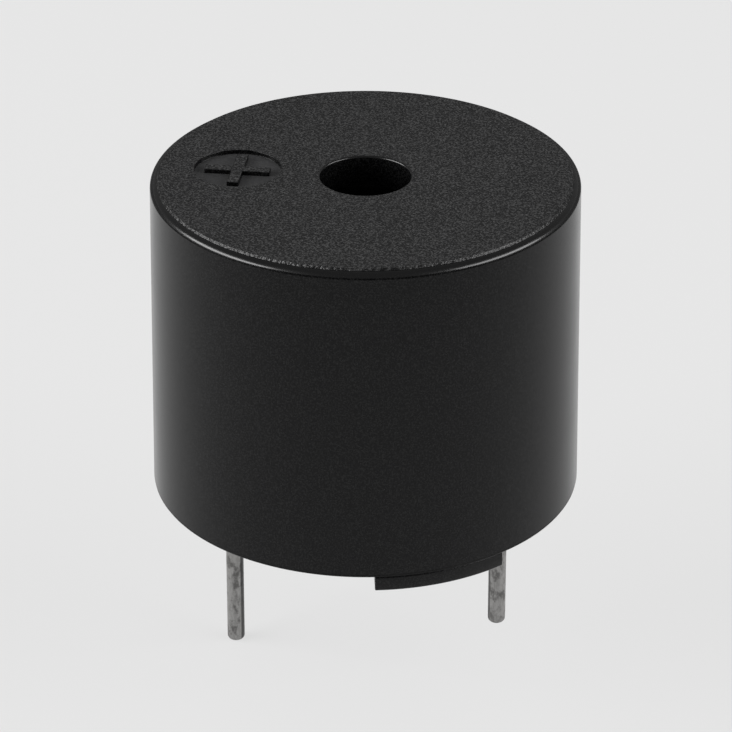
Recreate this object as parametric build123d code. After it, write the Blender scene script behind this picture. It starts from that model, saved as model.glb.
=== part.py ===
from build123d import *
import math
import os

# A round magnetic buzzer for a circuit board, in millimetres and degrees.
# The origin is on the case's axis in the plane that the feet stand on, with +Z up.
# X runs through the two pins, and the positive pin is on the -X side.

# Case: a moulded cup that opens downwards, narrower at its closed end
case_diameter = 12.0
case_height = 9.25
case_draft_angle = 0.62
case_wall = 0.85
case_roof = 0.9
case_rim_rounding = 0.27
case_mouth_bevel = 0.07
case_ledge = 0.55
chamber_bevel = 0.3
sound_hole_diameter = 2.5
sound_hole_bevel = 0.04

# Polarity mark: a shallow round pocket in the roof with a plus standing in it
mark_diameter = 2.4
mark_distance = 3.54
mark_depth = 0.12
plus_length = 1.8
plus_width = 0.32

# Base: the plate that closes the case, with feet that reach out under its wall
foot_height = 0.45
foot_span_angle = 37.0
foot_angles = (-61.5, 118.5)
foot_inset = 0.1
foot_bevel = 0.06
base_clearance = 0.05
base_rim = 0.5
base_floor = 0.7
resin_recess = 0.3
resin_hollow = 0.06
pin_passage_diameter = 1.2
shelf_width = 0.6
component_space = 1.1

# Pins: round wire, thicker where the resin grips it, thinner through the board
pin_pitch = 7.62
pin_diameter = 0.5
pin_grip_diameter = 0.9
pin_tail_diameter = 0.4
pin_tip_rounding = 0.14
pin_tail_recess = 0.1
positive_pin_length = 5.45
negative_pin_length = 4.25

# Circuit board, its copper and its solder
board_thickness = 0.8
board_clearance = 0.1
board_hole_clearance = 0.05
copper_thickness = 0.035
track_width = 0.3
track_pitch = 0.8
pad_margin = 0.1
pin_solder_diameter = 1.2
pin_solder_height = 0.45
pin_solder_clearance = 0.05
lead_solder_radius = 0.25
lead_solder_height = 0.2
lead_solder_crown = 0.12

# Transistor: a moulded body on three formed legs
transistor_length = 2.9
transistor_width = 1.3
transistor_height = 0.9
transistor_lift = 0.06
transistor_place = -1.6
transistor_taper_angle = 8.0
leg_width = 0.4
leg_thickness = 0.12
leg_spacing = 1.9
leg_shoulder = 0.18
leg_slope = 0.1
leg_toe = 0.27
leg_bend = 0.1

# Resistor: a ceramic chip with plated ends
resistor_length = 1.6
resistor_width = 0.8
resistor_height = 0.45
resistor_end = 0.3
resistor_plating = 0.03
resistor_place = 1.9

# Magnetic circuit: yoke plate, core, winding and ring magnet
yoke_thickness = 0.8
core_diameter = 2.3
core_bevel = 0.05
air_gap = 0.15
coil_setback = 0.2
coil_bevel = 0.12
coil_gap = 0.4
magnet_width = 1.2
magnet_height = 1.9
magnet_clearance = 0.05
magnet_bevel = 0.1

# Winding's leads: thin wire that leaves the coil and bends out to its pad
lead_diameter = 0.1
lead_standoff = 0.2
lead_exit_height = 0.6
lead_knee_height = 0.35
lead_foot_height = 0.12
lead_joint_distance = 0.45
lead_yoke_clearance = 0.05
lead_angle = 12.0

# Support ring, diaphragm and the piece that the magnet pulls
ring_clearance = 0.05
ring_width = 0.75
ring_height = 3.45
lip_width = 0.3
lip_height = 0.3
diaphragm_clearance = 0.05
diaphragm_thickness = 0.08
magnetic_piece_diameter = 3.2
magnetic_piece_thickness = 0.3
magnetic_piece_bevel = 0.04

# Heights that follow, from the feet up
case_mouth = foot_height
case_top = case_mouth + case_height
chamber_top = case_top - case_roof
recess_top = foot_height + resin_recess
resin_face = foot_height + resin_hollow
floor_top = foot_height + base_floor
board_bottom = floor_top + component_space
board_top = board_bottom + board_thickness
solder_plane = board_bottom - copper_thickness
yoke_top = board_top + yoke_thickness
diaphragm_seat = board_top + ring_height
diaphragm_top = diaphragm_seat + diaphragm_thickness
ledge_height = diaphragm_seat + lip_height
core_top = diaphragm_seat - air_gap
coil_top = core_top - coil_setback

# Radii that follow, from the wall inwards
case_radius = case_diameter / 2
sound_hole_radius = sound_hole_diameter / 2
case_top_radius = case_radius - case_height * math.tan(math.radians(case_draft_angle))
bore_radius = case_radius - case_wall
chamber_radius = bore_radius - case_ledge
base_radius = bore_radius - base_clearance
recess_radius = base_radius - base_rim
shelf_radius = base_radius - shelf_width
board_radius = bore_radius - board_clearance
ring_radius = bore_radius - ring_clearance
ring_bore_radius = ring_radius - ring_width
lip_radius = ring_radius - lip_width
diaphragm_radius = lip_radius - diaphragm_clearance
magnet_radius = ring_bore_radius - magnet_clearance
magnet_bore_radius = magnet_radius - magnet_width
coil_radius = magnet_bore_radius - coil_gap
core_radius = core_diameter / 2
lead_drop_radius = coil_radius + lead_standoff
lead_joint_radius = lead_drop_radius + lead_joint_distance
pin_radius = pin_diameter / 2
pin_grip_radius = pin_grip_diameter / 2
pin_tail_radius = pin_tail_diameter / 2
pin_passage_radius = pin_passage_diameter / 2
board_hole_radius = pin_tail_radius + board_hole_clearance
pin_solder_radius = pin_solder_diameter / 2
pin_well_radius = pin_solder_radius + pin_solder_clearance

# Places on the board that follow, seen from above
pin_place = pin_pitch / 2
leg_place = leg_spacing / 2
leg_reach = leg_shoulder + leg_slope + leg_toe
leg_row = transistor_width / 2 + leg_reach - leg_toe / 2
chip_end_place = (resistor_length - resistor_end) / 2
track_bend = leg_place + track_pitch
pin_pad_middle = (board_hole_radius + pin_solder_radius) / 2

# Directions that follow, in which the winding's ends leave it
lead_angles = {"start": lead_angle, "tap": -lead_angle, "finish": 180 + lead_angle}


def turned(*corners, roundings=None):
    """A solid turned about Z from its corners, each a radius and a height."""
    if roundings:
        outline = FilletPolyline(*corners, radius=roundings, close=True)
    else:
        outline = Polyline(*corners, close=True)
    return revolve(Plane.XZ * make_face(outline), Axis.Z)


def post(radius, low, high):
    """A plain upright cylinder on Z between two heights."""
    return Pos(0, 0, low) * extrude(Circle(radius), high - low)


def ring(outer, inner, low, high, bevel):
    """An upright ring with its outer top edge bevelled."""
    return turned((inner, low), (outer, low), (outer, high - bevel), (outer - bevel, high), (inner, high))


def disc(radius, low, high, bevel):
    """An upright disc with its top edge bevelled."""
    return turned((0, low), (radius, low), (radius, high - bevel), (radius - bevel, high), (0, high))


def make_case():
    """The moulded cup, with the sound hole, the chamber over the diaphragm and the polarity mark."""
    corners = {
        (bore_radius, case_mouth): 0,
        (case_radius - case_mouth_bevel, case_mouth): 0,
        (case_radius, case_mouth + case_mouth_bevel): 0,
        (case_top_radius, case_top): case_rim_rounding,
        (sound_hole_radius + sound_hole_bevel, case_top): 0,
        (sound_hole_radius, case_top - sound_hole_bevel): 0,
        (sound_hole_radius, chamber_top): 0,
        (chamber_radius - chamber_bevel, chamber_top): 0,
        (chamber_radius, chamber_top - chamber_bevel): 0,
        (chamber_radius, ledge_height): 0,
        (bore_radius, ledge_height): 0,
    }
    shell = turned(*corners, roundings=corners.values())
    plus = Rectangle(plus_length, plus_width) + Rectangle(plus_width, plus_length)
    pocket = Circle(mark_diameter / 2) - plus
    floor_height = case_top - mark_depth
    return shell - Pos(-mark_distance, 0, floor_height) * extrude(pocket, mark_depth)


def make_foot(angle):
    """One foot: an arc of a low ring, from the resin recess out to just inside the case."""
    outer = case_radius - foot_inset
    outline = Polyline(
        (recess_radius, 0),
        (outer - foot_bevel, 0),
        (outer, foot_bevel),
        (outer, foot_height),
        (recess_radius, foot_height),
        close=True,
    )
    arc = revolve(Plane.XZ * make_face(outline), Axis.Z, foot_span_angle)
    return Rot(0, 0, angle - foot_span_angle / 2) * arc


def make_base():
    """The closing plate: a floor over the resin recess, a shelf for the board, and the feet."""
    plate = turned(
        (0, recess_top),
        (recess_radius, recess_top),
        (recess_radius, foot_height),
        (base_radius, foot_height),
        (base_radius, board_bottom),
        (shelf_radius, board_bottom),
        (shelf_radius, floor_top),
        (0, floor_top),
    )
    for angle in foot_angles:
        plate += make_foot(angle)
    for side in (-1, 1):
        plate -= Pos(side * pin_place, 0, 0) * post(pin_passage_radius, foot_height, floor_top)
        plate -= Pos(side * pin_place, 0, 0) * post(pin_well_radius, floor_top, board_bottom)
    return plate


def make_pin(side, length):
    """A pin, with its grip in the resin and its thin tail in the board."""
    tail_top = board_top - pin_tail_recess
    corners = {
        (0, -length): 0,
        (pin_radius, -length): pin_tip_rounding,
        (pin_radius, resin_face): 0,
        (pin_grip_radius, resin_face): 0,
        (pin_grip_radius, solder_plane): 0,
        (pin_tail_radius, solder_plane): 0,
        (pin_tail_radius, tail_top): 0,
        (0, tail_top): 0,
    }
    return Pos(side * pin_place, 0, 0) * turned(*corners, roundings=corners.values())


def make_resin():
    """Resin that fills the underside's recess and the passages round the pins."""
    resin = post(recess_radius, resin_face, recess_top)
    for side in (-1, 1):
        resin += Pos(side * pin_place, 0, 0) * post(pin_passage_radius, resin_face, floor_top)
        resin -= Pos(side * pin_place, 0, 0) * post(pin_grip_radius, resin_face, floor_top)
    return resin


def make_board():
    board = post(board_radius, board_bottom, board_top)
    for side in (-1, 1):
        board -= Pos(side * pin_place, 0, 0) * post(board_hole_radius, board_bottom, board_top)
    return board


def track(*points):
    """A copper track through points seen from above."""
    return trace(Polyline(*points), track_width)


def lead_joint_place(angle):
    """Where a winding's lead is soldered to the board, seen from above."""
    turn = math.radians(angle)
    return lead_joint_radius * math.cos(turn), lead_joint_radius * math.sin(turn)


def supply_net():
    """From the positive pin to the resistor."""
    corner = (-chip_end_place - resistor_length, resistor_place)
    chip_end = (-chip_end_place, resistor_place)
    return track((-pin_place + pin_pad_middle, 0), corner, chip_end) + Pos(*chip_end) * chip_pad()


def drive_net():
    """From the resistor round the transistor's end to its first leg."""
    chip_end = (chip_end_place, resistor_place)
    leg = (leg_place, transistor_place - leg_row)
    corners = [(track_bend, resistor_place), (track_bend, transistor_place - leg_row)]
    return track(chip_end, *corners, leg) + Pos(*chip_end) * chip_pad() + Pos(*leg) * leg_pad()


def ground_net():
    """From the negative pin round the drive track to the transistor's second leg."""
    leg = (-leg_place, transistor_place - leg_row)
    low = leg[1] - track_pitch
    corners = [(track_bend + track_pitch, leg[1]), (track_bend, low), (-leg_place, low)]
    return track((pin_place - pin_pad_middle, 0), *corners, leg) + Pos(*leg) * leg_pad()


def output_net():
    """From the transistor's third leg to the winding."""
    leg = (0, transistor_place + leg_row)
    corner = (-track_bend, transistor_place + leg_row)
    return track(lead_joint_place(lead_angles["finish"]), corner, leg) + Pos(*leg) * leg_pad()


def chip_pad():
    return Rectangle(resistor_end + pad_margin, resistor_width + pad_margin)


def leg_pad():
    return Rectangle(leg_width + pad_margin, leg_toe + pad_margin)


def make_tracks():
    """Copper under the board, in four nets, two of them round the pins' holes."""
    pin_pad = Circle(pin_solder_radius) - Circle(board_hole_radius)
    supply = Pos(-pin_place, 0) * pin_pad + supply_net()
    ground = Pos(pin_place, 0) * pin_pad + ground_net()
    under = [supply, ground, drive_net(), output_net()]
    return Compound([(Pos(0, 0, solder_plane) * extrude(net, copper_thickness)).solid() for net in under])


def make_pin_solder(side):
    """A cone of solder between a pin's grip and its copper pad."""
    solder = turned(
        (pin_grip_radius, solder_plane),
        (pin_solder_radius, solder_plane),
        (pin_grip_radius, solder_plane - pin_solder_height),
    )
    return Pos(side * pin_place, 0, 0) * solder


def under_board(component):
    """Turns a component that stands on z = 0 over, so that it hangs on the board's copper."""
    return Pos(0, 0, solder_plane) * Rot(180, 0, 0) * component


def make_transistor_body():
    """The moulded body, tapered above and below the plane of its legs."""
    seam = transistor_lift + transistor_height / 2
    outline = Rectangle(transistor_length, transistor_width)
    half = extrude(outline, transistor_height / 2, taper=transistor_taper_angle)
    body = Pos(0, 0, seam) * (half + Rot(180, 0, 0) * half)
    return under_board(Pos(0, -transistor_place, 0) * body)


def make_transistor_legs():
    """Three legs, two on one side and one on the other, bent from the body down to the copper."""
    exit_height = transistor_lift + transistor_height / 2
    side = transistor_width / 2
    path = Plane.XZ * FilletPolyline(
        (side / 2, exit_height),
        (side + leg_shoulder, exit_height),
        (side + leg_shoulder + leg_slope, leg_thickness / 2),
        (side + leg_reach, leg_thickness / 2),
        radius=leg_bend,
    )
    section = Plane(path @ 0, x_dir=(0, 1, 0), z_dir=path % 0) * Rectangle(leg_width, leg_thickness)
    leg = sweep(section, path)
    body = make_transistor_body()
    legs = []
    for place, turn in ((0, -90), (-leg_place, 90), (leg_place, 90)):
        placed = under_board(Pos(place, -transistor_place, 0) * Rot(0, 0, turn) * leg)
        legs.append((placed - body).solid())
    return Compound(legs)


def make_resistor_body():
    body = Box(
        resistor_length - 2 * resistor_plating,
        resistor_width - 2 * resistor_plating,
        resistor_height - 2 * resistor_plating,
        align=(Align.CENTER, Align.CENTER, Align.MIN),
    )
    return under_board(Pos(0, -resistor_place, resistor_plating) * body)


def make_resistor_ends():
    """Two plated caps that wrap the chip's ends."""
    block = Box(
        resistor_end,
        resistor_width,
        resistor_height,
        align=(Align.MAX, Align.CENTER, Align.MIN),
    )
    cap = under_board(Pos(resistor_length / 2, -resistor_place, 0) * block) - make_resistor_body()
    return Compound([cap.solid(), mirror(cap, Plane.YZ).solid()])


def make_yoke():
    """Round plate with two flats that leave room for the pins and the winding's leads."""
    flat = lead_drop_radius * math.cos(math.radians(lead_angle))
    flat -= lead_diameter / 2 + lead_yoke_clearance
    plate = post(magnet_radius, board_top, yoke_top) - post(core_radius, board_top, yoke_top)
    blank = Pos(0, 0, board_top) * Box(
        2 * flat,
        2 * magnet_radius,
        yoke_thickness,
        align=(Align.CENTER, Align.CENTER, Align.MIN),
    )
    return plate & blank


def make_core():
    return disc(core_radius, board_top, core_top, core_bevel)


def make_coil():
    return ring(coil_radius, core_radius, yoke_top, coil_top, coil_bevel)


def make_magnet():
    return ring(magnet_radius, magnet_bore_radius, yoke_top, yoke_top + magnet_height, magnet_bevel)


def make_lead_mound(angle):
    """The low mound of solder that a lead ends in."""
    top = board_top + lead_solder_height
    mound = turned((0, board_top), (lead_solder_radius, board_top), (lead_solder_crown, top), (0, top))
    return Pos(*lead_joint_place(angle)) * mound


def make_lead_solder():
    return Compound([make_lead_mound(angle).solid() for angle in lead_angles.values()])


def make_lead(angle):
    """One end of the winding: out of the coil, down past the yoke and out to its mound of solder."""
    exit_height = yoke_top + lead_exit_height
    path = Plane.XZ * Polyline(
        (core_radius, exit_height),
        (lead_drop_radius, exit_height),
        (lead_drop_radius, board_top + lead_knee_height),
        (lead_joint_radius, board_top + lead_foot_height),
    )
    section = Plane(path @ 0, z_dir=path % 0) * Circle(lead_diameter / 2)
    lead = sweep(section, path, transition=Transition.RIGHT) - post(coil_radius, yoke_top, coil_top)
    return (Rot(0, 0, angle) * lead - make_lead_mound(angle)).solid()


def make_support_ring():
    """Moulded ring round the magnet, with a step for the diaphragm and a lip round it."""
    return turned(
        (ring_bore_radius, board_top),
        (ring_radius, board_top),
        (ring_radius, ledge_height),
        (lip_radius, ledge_height),
        (lip_radius, diaphragm_seat),
        (ring_bore_radius, diaphragm_seat),
    )


def make_diaphragm():
    return post(diaphragm_radius, diaphragm_seat, diaphragm_top)


def make_magnetic_piece():
    top = diaphragm_top + magnetic_piece_thickness
    return disc(magnetic_piece_diameter / 2, diaphragm_top, top, magnetic_piece_bevel)


pieces = {
    "case": make_case(),
    "base": make_base(),
    "potting_resin": make_resin(),
    "pin_positive": make_pin(-1, positive_pin_length),
    "pin_negative": make_pin(1, negative_pin_length),
    "circuit_board": make_board(),
    "board_tracks": make_tracks(),
    "pin_solder_positive": make_pin_solder(-1),
    "pin_solder_negative": make_pin_solder(1),
    "transistor_body": make_transistor_body(),
    "transistor_legs": make_transistor_legs(),
    "resistor_body": make_resistor_body(),
    "resistor_ends": make_resistor_ends(),
    "yoke": make_yoke(),
    "core": make_core(),
    "coil": make_coil(),
    "lead_solder": make_lead_solder(),
    "ring_magnet": make_magnet(),
    "support_ring": make_support_ring(),
    "diaphragm": make_diaphragm(),
    "magnetic_piece": make_magnetic_piece(),
}
for end, angle in lead_angles.items():
    pieces[f"coil_lead_{end}"] = make_lead(angle)

os.makedirs("parts", exist_ok=True)
for name, piece in pieces.items():
    export_step(piece, f"parts/{name}.step")
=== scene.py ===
import logging
import math
from collections.abc import Callable, Iterator, Sequence
from contextlib import contextmanager
from dataclasses import dataclass
from enum import Enum

import bmesh
import bpy
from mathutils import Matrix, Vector


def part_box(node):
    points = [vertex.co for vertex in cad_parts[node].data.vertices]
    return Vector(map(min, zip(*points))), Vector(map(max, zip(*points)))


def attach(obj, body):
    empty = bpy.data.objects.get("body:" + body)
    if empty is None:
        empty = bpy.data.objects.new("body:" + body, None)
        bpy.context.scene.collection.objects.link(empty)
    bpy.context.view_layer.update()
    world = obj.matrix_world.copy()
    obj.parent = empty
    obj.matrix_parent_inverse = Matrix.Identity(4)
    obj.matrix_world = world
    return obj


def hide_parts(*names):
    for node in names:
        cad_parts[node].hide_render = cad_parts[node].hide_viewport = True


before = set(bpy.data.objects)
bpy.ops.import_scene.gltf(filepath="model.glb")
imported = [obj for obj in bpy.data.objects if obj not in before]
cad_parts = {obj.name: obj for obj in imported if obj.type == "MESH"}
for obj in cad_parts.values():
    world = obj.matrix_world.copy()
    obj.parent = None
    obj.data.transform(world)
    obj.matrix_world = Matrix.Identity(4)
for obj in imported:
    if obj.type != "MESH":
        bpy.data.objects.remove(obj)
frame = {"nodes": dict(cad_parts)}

# A round magnetic buzzer with two wire pins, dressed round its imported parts.
# Lengths are in millimetres until a piece is finished, which scales it to metres.

log = logging.getLogger("buzzer")
MILLIMETRE = 0.001
SMOOTH_DEGREES = 36.0

# Distances in millimetres: points that meet when a profile is spun, slivers that a cut leaves,
# and what still counts as level or as in place.
WELD = 0.0002
SLIVER = 0.002
LEVEL = 0.001
NEAR = 0.01

# Shares of a face's normal that make it flat or facing a side, and the angle of a sharp edge in radians.
FLAT = 0.999
FACING = 0.99
SHARP = 0.7

# The values between which nearly all of a noise lies, and the materials made so far by name.
NOISE_RANGE = (0.3, 0.7)
MADE: dict[str, bpy.types.Material] = {}

Colour = tuple[float, float, float]
Socket = bpy.types.NodeSocket
Piece = bpy.types.Object


class Element(Enum):
    """What a selection in edit mode is made of."""

    VERTEX = "VERT"
    EDGE = "EDGE"
    FACE = "FACE"


class Slot(Enum):
    """Names of material slots; each new piece's completion is handed one and does not read it."""

    CASE_PLASTIC = "case_plastic"
    BASE_PLASTIC = "base_plastic"
    RESIN = "resin"
    TINNED_WIRE = "tinned_wire"


@dataclass(frozen=True)
class Corner:
    """One corner of a turned piece's profile.

    Attributes:
        radius: Distance from the turning axis.
        height: Height above the feet's plane.
        rounding: Radius of the arc that replaces the corner, or 0 for a sharp one.
        segments: Straight pieces in that arc.
    """

    radius: float
    height: float
    rounding: float = 0.0
    segments: int = 4


@dataclass(frozen=True)
class Span:
    """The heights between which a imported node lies, in millimetres above the feet's plane."""

    low: float
    high: float

    @staticmethod
    def of(node: str) -> "Span":
        """Reads a node's heights from the frame."""
        low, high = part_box(node)
        return Span(low[2] / MILLIMETRE, high[2] / MILLIMETRE)


class Bench:
    """Short calls for shaping a piece in edit mode, in millimetres."""

    @staticmethod
    def clear() -> None:
        """Leaves edit mode and deselects every object."""
        if bpy.context.object and bpy.context.object.mode == "EDIT":
            bpy.ops.object.mode_set(mode="OBJECT")
        bpy.ops.object.select_all(action="DESELECT")

    @staticmethod
    def hold(piece: Piece) -> None:
        """Makes a piece the only selected and active object.

        Args:
            piece: The piece.
        """
        Bench.clear()
        piece.select_set(True)
        bpy.context.view_layer.objects.active = piece

    @staticmethod
    @contextmanager
    def shaping(piece: Piece) -> Iterator[None]:
        """Keeps a piece in edit mode, with all of it selected at first.

        Args:
            piece: The piece.

        Yields:
            Nothing.
        """
        Bench.hold(piece)
        bpy.ops.object.mode_set(mode="EDIT")
        bpy.ops.mesh.select_mode(type=Element.VERTEX.value)
        bpy.ops.mesh.select_all(action="SELECT")
        yield
        bpy.ops.object.mode_set(mode="OBJECT")

    @staticmethod
    def pick(piece: Piece, element: Element, test: Callable[..., bool]) -> int:
        """Selects, in edit mode, the elements that pass a test and nothing else.

        Args:
            piece: The object in edit mode.
            element: Whether the test is given vertices, edges or faces.
            test: Says whether an element belongs to the selection.

        Returns:
            How many elements were selected.
        """
        bpy.ops.mesh.select_mode(type=element.value)
        bpy.ops.mesh.select_all(action="DESELECT")
        mesh = bmesh.from_edit_mesh(piece.data)
        mesh.normal_update()
        groups = {Element.VERTEX: mesh.verts, Element.EDGE: mesh.edges, Element.FACE: mesh.faces}
        chosen = [item for item in groups[element] if test(item)]
        for item in chosen:
            item.select_set(True)
        bmesh.update_edit_mesh(piece.data)
        return len(chosen)

    @staticmethod
    def turn(name: str, corners: Sequence[Corner], steps: int, closed: bool = True) -> Piece:
        """Draws a profile corner by corner, rounds its corners and spins it round the Z axis.

        Args:
            name: The new piece's name.
            corners: The profile's corners in order, at any radius from 0 up.
            steps: Straight pieces in a full turn.
            closed: Whether the profile's last corner joins its first.

        Returns:
            The turned piece, in object mode.
        """
        Bench.clear()
        bpy.ops.mesh.primitive_plane_add(size=1.0)
        piece = bpy.context.object
        piece.name = name
        with Bench.shaping(piece):
            bpy.ops.mesh.merge(type="CENTER")
            bpy.ops.transform.translate(value=(corners[0].radius, 0.0, corners[0].height))
            for before, after in zip(corners, corners[1:]):
                step = (after.radius - before.radius, 0.0, after.height - before.height)
                bpy.ops.mesh.extrude_vertices_move(TRANSFORM_OT_translate={"value": step})
            if closed:
                Bench.pick(piece, Element.VERTEX, lambda vertex: len(vertex.link_edges) == 1)
                bpy.ops.mesh.edge_face_add()
            for corner in corners:
                if corner.rounding:
                    Bench.round_corner(piece, corner, corners)
            bpy.ops.mesh.select_all(action="SELECT")
            bpy.ops.mesh.spin(steps=steps, angle=math.tau, center=(0.0, 0.0, 0.0), axis=(0.0, 0.0, 1.0))
            bpy.ops.mesh.select_all(action="SELECT")
            bpy.ops.mesh.remove_doubles(threshold=WELD)
            bpy.ops.mesh.normals_make_consistent(inside=False)
        return piece

    @staticmethod
    def round_corner(piece: Piece, corner: Corner, corners: Sequence[Corner]) -> None:
        """Replaces one corner of a profile by an arc that touches both of its sides.

        Args:
            piece: The profile, in edit mode.
            corner: The corner to round.
            corners: All of the profile's corners in order.
        """
        index = corners.index(corner)
        here = Vector((corner.radius, corner.height))
        before, after = corners[index - 1], corners[(index + 1) % len(corners)]
        one = (Vector((before.radius, before.height)) - here).normalized()
        other = (Vector((after.radius, after.height)) - here).normalized()
        reach = corner.rounding / math.tan(one.angle(other) / 2)
        place = Vector((corner.radius, 0.0, corner.height))
        Bench.pick(piece, Element.VERTEX, lambda vertex: (vertex.co - place).length < WELD)
        bpy.ops.mesh.bevel(offset=reach, offset_type="OFFSET", segments=corner.segments, affect="VERTICES")

    @staticmethod
    def move(piece: Piece, x: float, y: float, z: float = 0.0) -> Piece:
        """Moves a whole piece by moving its mesh.

        Args:
            piece: The piece.
            x: How far along X.
            y: How far along Y.
            z: How far along Z.

        Returns:
            The same piece.
        """
        with Bench.shaping(piece):
            bpy.ops.transform.translate(value=(x, y, z))
        return piece

    @staticmethod
    def copy_to(pattern: Piece, x: float) -> Piece:
        """Copies a piece with a mesh of its own.

        Args:
            pattern: The piece to copy, which stays where it is.
            x: How far along X the copy stands from it.

        Returns:
            The copy.
        """
        Bench.hold(pattern)
        bpy.ops.object.duplicate(linked=False)
        return Bench.move(bpy.context.object, x, 0.0)

    @staticmethod
    def to_metres(piece: Piece) -> None:
        """Scales a piece from millimetres to metres in its mesh.

        Args:
            piece: The piece.
        """
        Bench.hold(piece)
        piece.scale = (MILLIMETRE, MILLIMETRE, MILLIMETRE)
        bpy.ops.object.transform_apply(location=True, rotation=True, scale=True)

    @staticmethod
    def combine(piece: Piece, tool: Piece, operation: str) -> None:
        """Cuts a tool from a piece, or adds it, and removes the tool.

        Args:
            piece: The piece that is kept.
            tool: The closed shape that is taken away or added.
            operation: DIFFERENCE, UNION or INTERSECT.
        """
        Bench.hold(piece)
        bpy.ops.object.modifier_add(type="BOOLEAN")
        modifier = piece.modifiers[-1]
        modifier.operation = operation
        modifier.solver = "EXACT"
        modifier.object = tool
        bpy.ops.object.modifier_apply(modifier=modifier.name)
        bpy.data.objects.remove(tool)
        Bench.clean(piece)

    @staticmethod
    def clean(piece: Piece) -> None:
        """Closes up the slivers that a cut leaves in a mesh.

        Args:
            piece: The piece that was cut.
        """
        with Bench.shaping(piece):
            bpy.ops.mesh.remove_doubles(threshold=SLIVER)
            bpy.ops.mesh.dissolve_degenerate(threshold=SLIVER)

    @staticmethod
    def dress(piece: Piece, *finishes: "Finish") -> None:
        """Gives a piece its material slots.

        Args:
            piece: The piece.
            finishes: The finishes, in the order of its slots.
        """
        piece.data.materials.clear()
        for finish in finishes:
            piece.data.materials.append(finish.material())

    @staticmethod
    def assign(piece: Piece, index: int, test: Callable[..., bool]) -> None:
        """Gives some of a piece's faces to one of its material slots.

        Args:
            piece: The piece.
            index: The slot's number.
            test: Says whether a face belongs to it.
        """
        with Bench.shaping(piece):
            Bench.pick(piece, Element.FACE, test)
            piece.active_material_index = index
            bpy.ops.object.material_slot_assign()

    @staticmethod
    def complete(piece: Piece, slot: Slot, node: str, flat: Callable[..., bool] | None = None) -> Piece:
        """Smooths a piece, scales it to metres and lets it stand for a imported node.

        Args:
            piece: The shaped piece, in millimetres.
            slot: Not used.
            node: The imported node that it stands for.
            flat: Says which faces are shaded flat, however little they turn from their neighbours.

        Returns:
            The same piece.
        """
        Bench.hold(piece)
        bpy.ops.object.shade_smooth_by_angle(angle=math.radians(SMOOTH_DEGREES))
        if flat:
            with Bench.shaping(piece):
                Bench.pick(piece, Element.FACE, flat)
                bpy.ops.mesh.faces_shade_flat()
        Bench.to_metres(piece)
        bpy.ops.object.modifier_add(type="WEIGHTED_NORMAL")
        modifier = piece.modifiers[-1]
        modifier.keep_sharp = True
        bpy.ops.object.modifier_apply(modifier=modifier.name)
        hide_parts(node)
        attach(piece, "root")
        log.info("%s: %d faces", piece.name, len(piece.data.polygons))
        return piece


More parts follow.
